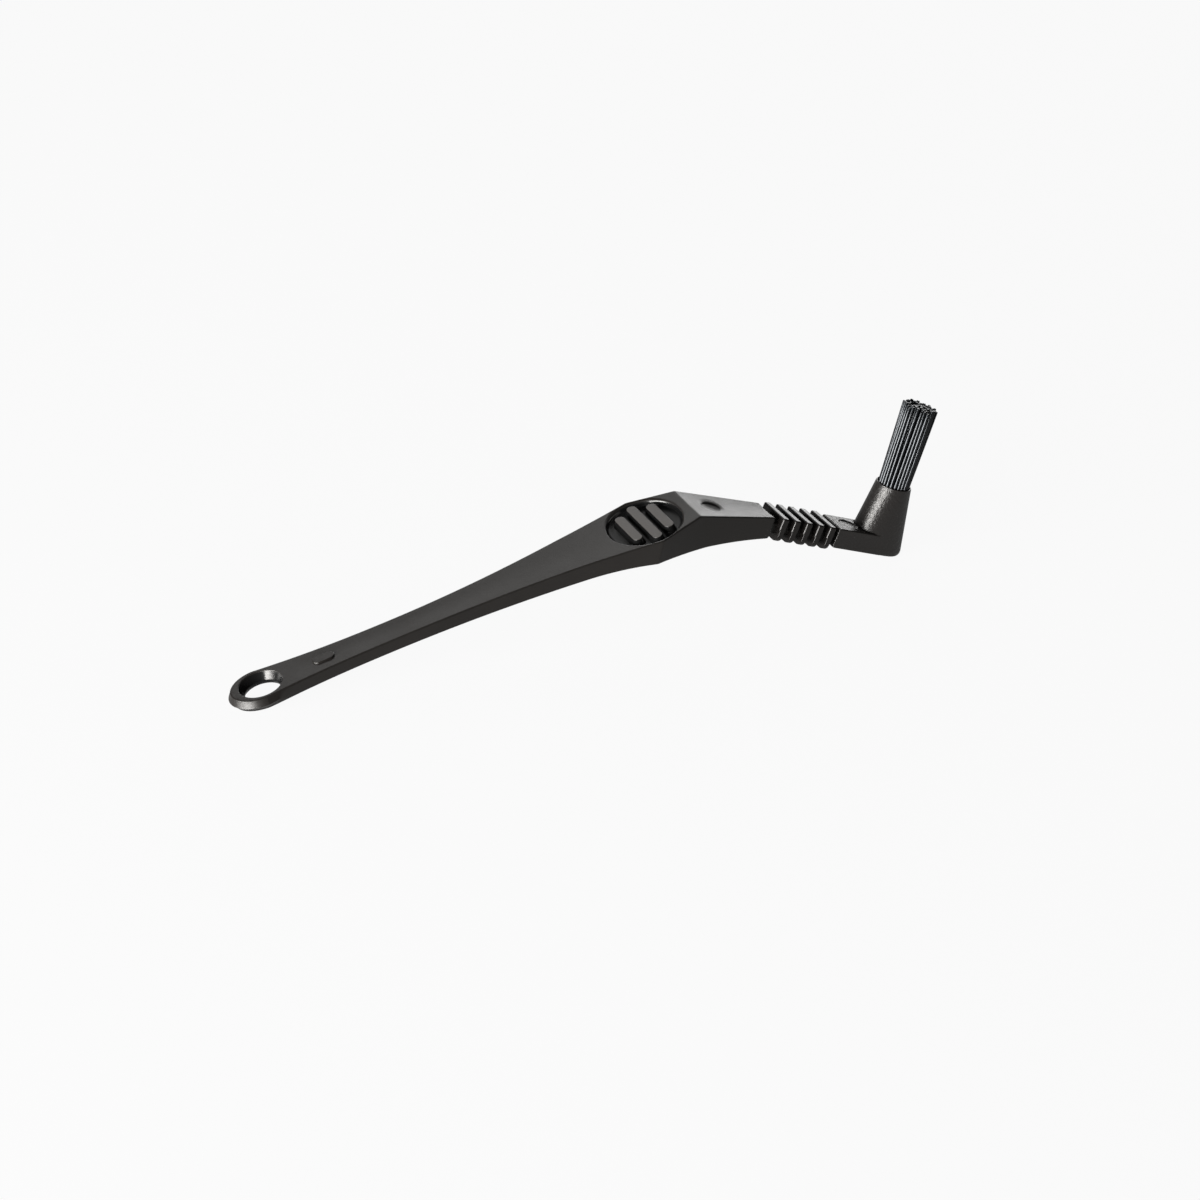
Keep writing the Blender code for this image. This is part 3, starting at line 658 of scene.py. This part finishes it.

# %% [markdown]
# Between the ribs runs the core, a flat strap that bends with the neck. A single strap would have to
# follow seven bodies at once, so each gap has its own sleeve of core, sunk a little into what stands
# on both sides of it. A sleeve is a moulding of several slices, baked in place at rest and attached
# to no body.

# %% Core sleeves
CORE_HALF, CORE_TOP, CORE_BOTTOM, CORE_CORNER = 4.2, -1.8, -5.6, 0.8
SLEEVE_SINK, SLEEVE_SLICES = 0.45, 6
HEAD_FACE = 24.0
bodies = ["handle"] + ["link_%d" % (place + 1) for place in range(RIB_COUNT)] + ["head"]
rib_starts = [ARM_GAP / MM + RIB_PITCH * place for place in range(RIB_COUNT)]
gap_starts = [0.0] + [start + RIB_THICKNESS for start in rib_starts]
sleeve_ends = list(zip(gap_starts, rib_starts + [HEAD_FACE]))
core_spots = tile_outline(CORE_HALF, CORE_TOP, CORE_BOTTOM, CORE_CORNER, CORE_CORNER, 4)
sleeves = []
for place, (start, end) in enumerate(sleeve_ends):
    first, last = start - SLEEVE_SINK, end + SLEEVE_SINK
    slices = [rib_layer(first + (last - first) * step / SLEEVE_SLICES, 0, 0)
              for step in range(SLEEVE_SLICES + 1)]
    sleeve = moulded("core_%d" % (place + 1), core_spots, slices)
    put(sleeve, NECK_PLACE)
    smooth(sleeve)
    spine = [NECK_PLACE @ (Vector((x, 0, -CORE_AXIS_BELOW / MM)) * MM) for x in (start, end)]
    bodies[place + 1]
    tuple(spine[0])
    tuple(spine[1])
    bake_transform(sleeve)
    sleeves.append(sleeve)
print("sleeves", len(sleeves), "first", sleeve_ends[0], "last", sleeve_ends[-1])

# %% [markdown]
# The head is a flat block that runs into a leaning socket. The socket is lofted from a long oval heel,
# rounded underneath, up to a round rim. Oval slices are easiest to place by a formula, so the
# loft is a moulding whose every layer is an oval of its own. The heel is squarer than an ellipse, and
# its sides hardly roll under, so that they run on straight into the block's sides.

# %% Socket
SOCKET_AT = 42.15
HEAD_THICKNESS, SOCKET_HEIGHT = 6.4, 15.4
SOCKET_LEAN = math.radians(-5.5)
FOOT_HALF_LENGTH, RIM_RADIUS = 9.7, 5.5
FOOT_SQUARENESS, RIM_SQUARENESS = 2.6, 2.0
HEEL_ROLL, SOCKET_RIM_ROLL = 2.1, 0.22
HEEL_SHARE, HEEL_SIDE_DIVISOR = 0.2, 4
SOCKET_STEPS = 96


def socket_layer(rise, inset):
    """An oval slice at a height above the block's top, leaning about its own middle."""
    total = HEAD_THICKNESS + SOCKET_HEIGHT
    share = (rise + HEAD_THICKNESS) / total
    oval_length = FOOT_HALF_LENGTH + (RIM_RADIUS - FOOT_HALF_LENGTH) * share - inset
    oval_width = RIM_RADIUS - inset / (HEEL_SIDE_DIVISOR if share < HEEL_SHARE else 1)
    power = 2 / (FOOT_SQUARENESS + (RIM_SQUARENESS - FOOT_SQUARENESS) * share)
    lean = SOCKET_LEAN * share

    def place(spot):
        along = oval_length * math.copysign(abs(spot[0]) ** power, spot[0])
        across = oval_width * math.copysign(abs(spot[1]) ** power, spot[1])
        return Vector((SOCKET_AT + rise * math.sin(SOCKET_LEAN) + along * math.cos(lean), across,
                       rise * math.cos(SOCKET_LEAN) - along * math.sin(lean))) * MM
    return place


socket_layers = [socket_layer(-HEAD_THICKNESS + HEEL_ROLL * (1 - up), HEEL_ROLL * (1 - out))
                 for out, up in quarter(7)]
climb = SOCKET_HEIGHT + HEAD_THICKNESS - HEEL_ROLL - SOCKET_RIM_ROLL
socket_layers += [socket_layer(-HEAD_THICKNESS + HEEL_ROLL + climb * step / 12, 0)
                  for step in range(1, 12)]
socket_layers += [socket_layer(SOCKET_HEIGHT - SOCKET_RIM_ROLL * (1 - up),
                               SOCKET_RIM_ROLL * (1 - out)) for up, out in quarter(3)]
head = moulded("head_body", circle_spots(SOCKET_STEPS), socket_layers)

# %% [markdown]
# The block is a tile with rolled edges that ends inside the socket, nearly flush with its sides, so
# that the near side flows into the heel. Its top has the narrow-lipped dimple.

# %% Block and its dimple
HEAD_HALF = 5.35
BLOCK_LOW_RADIUS, BLOCK_HIGH_RADIUS = 0.4, 0.45
BLOCK_SIDE_ROLL, BLOCK_TOP_ROLL, BLOCK_HIDDEN_ROLL = 0.35, 0.75, 0.1
HEAD_DIMPLE_AT, HEAD_DIMPLE_DEPTH, HEAD_DIMPLE_LIP = HEAD_FACE + 6.35, 0.55, 0.25

block_spots = tile_outline(HEAD_HALF, 0.0, -HEAD_THICKNESS, BLOCK_LOW_RADIUS, BLOCK_HIGH_RADIUS)
block = rib_slab("block", HEAD_FACE, SOCKET_AT, block_spots,
                 BLOCK_SIDE_ROLL, BLOCK_TOP_ROLL, BLOCK_HIDDEN_ROLL)
combine(head, block, "UNION")
head_dimple = dimple_tool("head_dimple_tool", HEAD_DIMPLE_DEPTH, HEAD_DIMPLE_LIP)
head_dimple.location.x = HEAD_DIMPLE_AT * MM
combine(head, head_dimple, "DIFFERENCE")
print("head block joined", len(head.data.polygons), "faces")

# %% [markdown]
# A thin, uneven groove is cut where the socket stands on the block: on the real head the grained
# surface breaks there in a dark, ragged line. The cutting tool is a worm, a row of small circles
# that follow the socket's foot, each one shifted and scaled by a seeded random draw.

# %% Crease groove
GROOVE_STEPS, GROOVE_RADIUS, GROOVE_SIDES = 44, 0.36, 8
GROOVE_START, GROOVE_SWEEP = 0.53, 0.94
GROOVE_OUTSIDE = 0.06
JITTER_ALONG, JITTER_ACROSS = 0.13, 0.08
THINNEST, THICKEST = 0.6, 1.25
TIP_SHARE, TAPER_SPEED = 0.15, 6

ragged = random.Random(4)
groove_path = []
for step in range(GROOVE_STEPS + 1):
    turn = math.pi * (GROOVE_START + GROOVE_SWEEP * step / GROOVE_STEPS)
    corner = socket_layer(0.0, -GROOVE_OUTSIDE)((math.cos(turn), math.sin(turn)))
    jitter = Vector((ragged.uniform(-JITTER_ALONG, JITTER_ALONG),
                     ragged.uniform(-JITTER_ACROSS, JITTER_ACROSS), 0)) * MM
    taper = min(1, TAPER_SPEED * min(step, GROOVE_STEPS - step) / GROOVE_STEPS)
    thickness = (TIP_SHARE + (1 - TIP_SHARE) * taper) * ragged.uniform(THINNEST, THICKEST)
    groove_path.append((Vector((corner.x, corner.y, 0)) + jitter, GROOVE_RADIUS * thickness))


def groove_layer(step):
    """A small circle across the groove's path."""
    centre, radius = groove_path[step]
    after = groove_path[min(step + 1, GROOVE_STEPS)][0]
    before = groove_path[max(step - 1, 0)][0]
    ahead = (after - before).normalized()
    side = ahead.cross(Vector((0, 0, 1)))

    def place(spot):
        return centre + (side * spot[0] + Vector((0, 0, spot[1]))) * radius * MM
    return place


groove_layers = [groove_layer(step) for step in range(GROOVE_STEPS + 1)]
groove = moulded("groove_tool", circle_spots(GROOVE_SIDES), groove_layers)
combine(head, groove, "DIFFERENCE")
print("groove cut,", len(groove_path), "circles")

# %% [markdown]
# Last comes the blind bore that the strands stand in. It leans with the socket, and its mouth has a
# tiny chamfer that catches a light line round the rim.

# %% Bore
BORE_RADIUS, BORE_DEPTH = 5.10, 10.0
bore_profile = [(BORE_RADIUS + 0.30, 1.0), (BORE_RADIUS + 0.16, 0.10), (BORE_RADIUS + 0.05, -0.03),
                (BORE_RADIUS, -0.14), (BORE_RADIUS, -BORE_DEPTH)]
bore = turned("bore_tool", bore_profile, 72)
SOCKET_PLACE = Matrix.Translation((SOCKET_AT * MM, 0, 0)) @ Matrix.Rotation(SOCKET_LEAN, 4, "Y")
put(bore, SOCKET_PLACE @ Matrix.Translation((0, 0, SOCKET_HEIGHT * MM)))
combine(head, bore, "DIFFERENCE")
put(head, NECK_PLACE)
smooth(head)
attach(head, "head")
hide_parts("head")

# %% [markdown]
# The tuft is a bundle of thick plastic strands. One strand is modelled: a long twelve-sided rod with a
# domed tip. It is copied sixty-one times, each copy with its own mesh, which is then leaned and bowed
# a little, because real strands never stand quite parallel. All of them stand on a hidden root disc.

# %% One strand
STRAND_RADIUS, STRAND_SPACING, STRAND_RINGS = 0.49, 1.09, 4
ROOT_Z, FREE_LENGTH = SOCKET_HEIGHT - BORE_DEPTH + 1.5, 26.0
STRAND_LENGTH = SOCKET_HEIGHT + FREE_LENGTH - ROOT_Z
STRAND_SLICES = 9
TIP_DOME = [(1.0, -0.24), (0.96, -0.12), (0.82, -0.03), (0.5, 0.0)]

strand_profile = [(STRAND_RADIUS, STRAND_LENGTH * step / STRAND_SLICES)
                  for step in range(STRAND_SLICES)]
strand_profile += [(STRAND_RADIUS * share, STRAND_LENGTH + drop) for share, drop in TIP_DOME]
strand = turned("strand", strand_profile, 12)
print("one strand", len(strand.data.polygons), "faces")

# %% [markdown]
# The strands stand in rings of six, twelve, eighteen and twenty-four round a middle one, which packs
# round rods closely. Each draws its own lean, bow and length from a seeded source, so that the tuft
# is uneven in the same way at every run. A strand leans only above the part that the socket holds.

# %% Strands in rings
FAN_OUT = (-0.02, 0.10)
LEAN_SPREAD, BOW_SPREAD, SHORTEST = 0.22, 0.08, 0.9
HELD_SHARE = 0.25
lean_draw = random.Random(23)
feet = [Vector((0, 0))]
for ring in range(1, STRAND_RINGS + 1):
    for step in range(6 * ring):
        turn = 2 * math.pi * (step + ring / 2) / (6 * ring)
        feet.append(Vector((math.cos(turn), math.sin(turn))) * ring * STRAND_SPACING)

root_disc = [(4.8, ROOT_Z - 1.2), (5.05, ROOT_Z - 1.0), (5.05, ROOT_Z + 0.9), (4.7, ROOT_Z + 1.2)]
tuft = turned("tuft", root_disc, 48)
copies = []
for foot in feet:
    copy = strand.copy()
    copy.data = strand.data.copy()
    bpy.context.scene.collection.objects.link(copy)
    outward = foot * lean_draw.uniform(*FAN_OUT)
    lean = outward + Vector((lean_draw.gauss(0, LEAN_SPREAD), lean_draw.gauss(0, LEAN_SPREAD)))
    bow = Vector((lean_draw.gauss(0, BOW_SPREAD), lean_draw.gauss(0, BOW_SPREAD)))
    shorter = lean_draw.uniform(0.0, SHORTEST)
    for vertex in copy.data.vertices:
        share = vertex.co.z / (STRAND_LENGTH * MM)
        free = max(0, share - HELD_SHARE) / (1 - HELD_SHARE)
        drift = lean * free + bow * math.sin(math.pi * share)
        vertex.co.x += (foot.x + drift.x) * MM
        vertex.co.y += (foot.y + drift.y) * MM
        vertex.co.z += (ROOT_Z - shorter * share) * MM
    copies.append(copy)
bpy.data.objects.remove(strand, do_unlink=True)
drop_selection()
for copy in copies:
    copy.select_set(True)
tuft.select_set(True)
bpy.context.view_layer.objects.active = tuft
bpy.ops.object.join()
put(tuft, NECK_PLACE @ SOCKET_PLACE)
smooth(tuft, 50, weighted=False)
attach(tuft, "head")
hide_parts("bristle_tuft")

# %% [markdown]
# The finishes are all black plastic, told apart by their grain and gloss. A small class wraps a shader
# socket, so that shader maths can be written as ordinary arithmetic: each operation adds a Math node.
# A second class holds one material and has the single method that adds any other node.

# %% Shader arithmetic
class Field:
    """A value that varies over a surface."""

    def __init__(self, finish, socket):
        self.finish = finish
        self.socket = socket

    def maths(self, operation, first, second):
        return self.finish.node("ShaderNodeMath", {"operation": operation}, {0: first, 1: second})

    def __add__(self, other):
        return self.maths("ADD", self, other)

    __radd__ = __add__  # sum() starts with 0 + the first field

    def __mul__(self, other):
        return self.maths("MULTIPLY", self, other)


class Finish:
    """One material: its constants sit on the shader's own sockets."""

    def __init__(self, name, **constants):
        self.material = bpy.data.materials.new(name)
        self.material.use_nodes = True
        self.tree = self.material.node_tree
        self.shader = self.tree.nodes["Principled BSDF"]
        for socket, value in constants.items():
            self.shader.inputs[socket.replace("_", " ")].default_value = value

    def node(self, kind, settings=None, inputs=None, output=0):
        made = self.tree.nodes.new(kind)
        for name, value in (settings or {}).items():
            if name == "stops":
                for place, (position, colour) in enumerate(value):
                    ramp = made.color_ramp.elements
                    stop = ramp[place] if place < len(ramp) else ramp.new(position)
                    stop.position = position
                    stop.color = colour
            else:
                setattr(made, name, value)
        for name, value in (inputs or {}).items():
            if isinstance(value, Field):
                self.tree.links.new(value.socket, made.inputs[name])
            else:
                made.inputs[name].default_value = value
        return Field(self, made.outputs[output])

    def feed(self, socket, field):
        self.tree.links.new(field.socket, self.shader.inputs[socket])

    def place(self):
        return self.node("ShaderNodeTexCoord", output="Object")

    def noise(self, scale, detail=3.0, roughness=0.55, stretch=(1, 1, 1)):
        spot = self.node("ShaderNodeMapping", inputs={"Vector": self.place(), "Scale": stretch})
        return self.node("ShaderNodeTexNoise", {"noise_dimensions": "3D"},
                         {"Vector": spot, "Scale": scale, "Detail": detail, "Roughness": roughness},
                         "Fac")

    def blend(self, share, first, second):
        return self.node("ShaderNodeMix", {"data_type": "RGBA"},
                         {"Factor": share, "A": first, "B": second}, "Result")

    def give(self, *pieces):
        for piece in pieces:
            piece.data.materials.clear()
            piece.data.materials.append(self.material)

    def give_where(self, piece, rule):
        """Give this finish to the faces whose middle passes the rule."""
        piece.data.materials.append(self.material)
        found = [face for face in piece.data.polygons if rule(face)]
        for face in found:
            face.material_index = len(piece.data.materials) - 1
        print(self.material.name, "on", len(found), "faces of", piece.name)


# %% [markdown]
# Moulded plastic has a spark-eroded grain: tiny pits that blur the gloss. Here a fine noise feeds a
# Bump node, a coarser one shifts the roughness a little from place to place, as handling does, and the
# base colour wanders between two near blacks. Faint long scratches run along the bar. The constants
# of a finish, its specular level and tint, sit on the shader itself.

# %% Plastic finish
WARM_GLOSS, COOL_GLOSS = (1.0, 0.98, 0.95, 1.0), (0.93, 0.97, 1.0, 1.0)
PATCH_SCALE, SCRATCH_SCALE, SCRATCH_STRETCH = 90.0, 700.0, (0.05, 1.6, 1.0)
SCRATCH_SHARE, GRAIN_SHARE, USUAL_SHIFT = 0.05, 0.06, 0.09
COLOUR_BY_PATCHES, COLOUR_BY_GRAIN = 0.7, 0.3


def plastic(name, dark, light, gloss, grain_scale, specular, smudge=0.08, tint=WARM_GLOSS):
    """A black plastic with smudges, scratches and a wander of colour, and its grain pattern."""
    finish = Finish(name, Specular_IOR_Level=specular, Specular_Tint=tint)
    grain = finish.noise(grain_scale, 4.0, 0.6)
    patches = finish.noise(PATCH_SCALE, 3.0, 0.5)
    scratches = finish.noise(SCRATCH_SCALE, 2.0, 0.5, SCRATCH_STRETCH)
    wander = patches * COLOUR_BY_PATCHES + grain * COLOUR_BY_GRAIN
    finish.feed("Base Color", finish.blend(wander, (*dark, 1), (*light, 1)))
    finish.feed("Roughness", patches * smudge + scratches * SCRATCH_SHARE + grain * GRAIN_SHARE
                + (gloss - USUAL_SHIFT))
    return finish, grain


def pressed(finish, pattern, depth):
    """Let a pattern stand out of the surface, by a depth in metres where the pattern is one."""
    bump = finish.node("ShaderNodeBump", None,
                       {"Strength": 1.0, "Distance": depth, "Height": pattern}, "Normal")
    finish.feed("Normal", bump)
    return finish


# %% [markdown]
# Six of the finishes are this plastic with a grain. The handle is satin; the walls of hole and dish
# are more polished, as a mould's core pins are, and a darker near-black, which is painted shade; the
# dish's floor is dull and darker too, also painted shade, and the tops of its bars are a lighter
# grey, which is painted light. The neck is smoother than the handle, and the head has the coarsest grain.

# %% Moulded finishes
handle_finish = pressed(*plastic("satin_handle", (0.007, 0.0060, 0.0053), (0.013, 0.0112, 0.0100),
                                 0.31, 2600.0, 0.50, 0.14), 0.00003)
# Painted shade: the walls of hole and dish get a darker near-black than the handle, besides their real polish.
polished_painted_shade_finish = pressed(*plastic("polished_hollow_painted_shade", (0.004, 0.004, 0.004), (0.007, 0.007, 0.007),
                                   0.22, 1800.0, 0.45, 0.04), 0.00001)
# Painted shade: the dish's floor is a darker near-black than the handle, where shade falls in the hollow.
painted_shade_dish_floor_finish = pressed(*plastic("dull_dish_floor_painted_shade", (0.004, 0.004, 0.004), (0.008, 0.008, 0.008),
                                     0.30, 1800.0, 0.20, 0.04), 0.00002)
# Painted light: the grip bars' tops are a much lighter grey than the rest of the plastic, where they face the
# light.
painted_light_grip_finish = pressed(*plastic("painted_light_grip_tops", (0.060, 0.056, 0.052), (0.085, 0.079, 0.074),
                               0.48, 3000.0, 0.80), 0.00004)
neck_finish = pressed(*plastic("satin_neck", (0.006, 0.0052, 0.0048), (0.011, 0.0096, 0.0088),
                               0.28, 3600.0, 0.40), 0.00001)
head_finish = pressed(*plastic("grained_head", (0.007, 0.0060, 0.0055), (0.013, 0.0112, 0.0104),
                               0.33, 1100.0, 0.66), 0.00017)
moulded_finishes = [handle_finish, polished_painted_shade_finish, painted_shade_dish_floor_finish, painted_light_grip_finish, neck_finish,
                    head_finish]
print("moulded finishes:", [finish.material.name for finish in moulded_finishes])

# %% [markdown]
# A drawn strand has no grain. What it needs is a very slight slant of its whole surface: a tall, thin
# mirror shows only a narrow band of the room, and the slant turns that band to the softbox. A Bump
# node gives it, fed by the height along the tuft, so the strands' shape stays round and straight.

# %% Strand finish
TUFT_AXIS = (NECK_PLACE @ SOCKET_PLACE).to_3x3() @ Vector((0, 0, 1))
STRAND_SLANT = 0.13

strand_finish, _ = plastic("drawn_strand", (0.003, 0.0036, 0.0042), (0.006, 0.0072, 0.0084),
                           0.27, 1500.0, 0.44, 0.04, COOL_GLOSS)
along = strand_finish.node("ShaderNodeVectorMath", {"operation": "DOT_PRODUCT"},
                           {0: strand_finish.place(), 1: TUFT_AXIS}, "Value")
pressed(strand_finish, along * -STRAND_SLANT, 1.0)
print("strand slant", STRAND_SLANT)

# %% [markdown]
# The handle is one piece with four finishes, so its faces are picked by their place: each face's
# middle is turned into the brush frame, and simple rules in millimetres say where it lies.

# %% Finishes on the pieces
WALL_BELOW, FLOOR_BELOW, GRIP_TOP_WITHIN = -0.2, -1.6, 0.05
DISH_WITHIN, HOLE_WALL_WITHIN = DISH_RADIUS + 0.3, 5.62
in_brush = BRUSH_PLACE.inverted()


def in_dish(face, lowest, highest):
    """Whether a face lies in the dish or at its rim, between two heights in mm."""
    spot = (in_brush @ face.center) / MM
    return math.hypot(spot.x - DISH_X, spot.y) < DISH_WITHIN and lowest < spot.z < highest


def in_hole(face):
    spot = (in_brush @ face.center) / MM
    return math.hypot((spot.x - HOLE_SHIFT) / HOLE_STRETCH, spot.y) < HOLE_WALL_WITHIN


BOTTOMLESS = -math.inf
handle_finish.give(handle)
# Painted shade on the walls of hole and dish and on the dish's floor, painted light on the grip bars' tops.
polished_painted_shade_finish.give_where(handle, lambda face: in_dish(face, BOTTOMLESS, WALL_BELOW) or in_hole(face))
painted_shade_dish_floor_finish.give_where(handle, lambda face: in_dish(face, BOTTOMLESS, FLOOR_BELOW))
painted_light_grip_finish.give_where(handle, lambda face: in_dish(face, -GRIP_TOP_WITHIN, GRIP_TOP_WITHIN))
neck_finish.give(*ribs, *sleeves)
head_finish.give(head)
strand_finish.give(tuft)

cad_finishes = {"handle": handle_finish, "head": head_finish, "bristle_tuft": strand_finish}
cad_finishes.update((node, neck_finish) for node in link_names)
for node, finish in cad_finishes.items():
    finish.give(frame["nodes"][node])
print("finishes on", len(cad_finishes), "packed nodes")

# %% [markdown]
# The brush lies on a pale sheet of paper. A plain white floor would need so much light that the black
# plastic would turn grey, so Light Path does it: rays from the camera, from gloss and through glass
# see a share of pure white, and the rest is paper that takes the light and keeps the shadow. The
# sheet lies a tenth of a millimetre low, because the bowed underside reaches a little below zero.

# %% Floor
FLOOR_SIZE, FLOOR_DROP = 6, 0.1
PAPER_GREY = (0.48, 0.48, 0.48, 1)
SHARES_OF_WHITE = [("Is Camera Ray", 0.93), ("Is Glossy Ray", 0.13), ("Is Transmission Ray", 0.40)]

drop_selection()
bpy.ops.mesh.primitive_plane_add(size=FLOOR_SIZE)
floor = bpy.context.object
floor.name = "floor"
floor.location.z = -FLOOR_DROP * MM
floor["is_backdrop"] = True
paper = Finish("pale_paper", Base_Color=PAPER_GREY, Roughness=0.9, Specular_IOR_Level=0.0)
seen = sum(paper.node("ShaderNodeLightPath", output=kind) * share for kind, share in SHARES_OF_WHITE)
white = paper.node("ShaderNodeEmission", None, {"Color": (1, 1, 1, 1), "Strength": 1.0}, "Emission")
mixed = paper.node("ShaderNodeMixShader", None,
                   {0: seen, 1: Field(paper, paper.shader.outputs["BSDF"]), 2: white}, "Shader")
paper.tree.links.new(mixed.socket, paper.tree.nodes["Material Output"].inputs["Surface"])
paper.give(floor)

# %% [markdown]
# The light is that of a product shot, in three soft panels. A wide one low behind the brush is what the
# sloping arm and the ribs mirror, a high one behind it lights the bar's flat top, and a low box at the
# left draws the bright strip down the socket, the strands and the round tail. The world adds a
# little from all sides. Black plastic shows little but its reflections, so each panel was placed by
# asking which way a surface mirrors the camera's line of sight.

# %% Lights
WORLD_STRENGTH = 0.10


def softbox(name, place, aim, width, height, watts):
    """A rectangular lamp that the camera doesn't see."""
    data = bpy.data.lights.new(name, "AREA")
    data.shape = "RECTANGLE"
    data.size = width
    data.size_y = height
    data.energy = watts
    lamp = bpy.data.objects.new(name, data)
    bpy.context.scene.collection.objects.link(lamp)
    turn = (Vector(aim) - Vector(place)).to_track_quat("-Z", "Y").to_matrix().to_4x4()
    lamp.matrix_world = Matrix.Translation(place) @ turn
    lamp.visible_camera = False
    print(name, "radiance", round(watts / (math.pi * width * height), 2))


softbox("back_panel", (1.00, 1.30, 0.20), (0, 0, 0.05), 1.5, 0.38, 7.5)
softbox("ceiling_panel", (0.60, 1.32, 0.98), (0, 0, 0), 2.1, 0.6, 4.8)
softbox("left_box", (-0.91, -0.30, 0.19), (0, 0, 0.03), 0.82, 0.36, 26.5)

world = bpy.data.worlds.new("world")
bpy.context.scene.world = world
world.use_nodes = True
backdrop = world.node_tree.nodes["Background"]
backdrop.inputs["Color"].default_value = (1, 1, 1, 1)
backdrop.inputs["Strength"].default_value = WORLD_STRENGTH
bpy.context.scene.view_settings.view_transform = "Standard"

# %% [markdown]
# The last step works out the box of the imported model and the box of the dressed one. The dressed
# brush may not grow.

boxes = {"cad": CAD_BOX, "visual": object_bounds()}
{name: [list(corner) for corner in box] for name, box in boxes.items()}
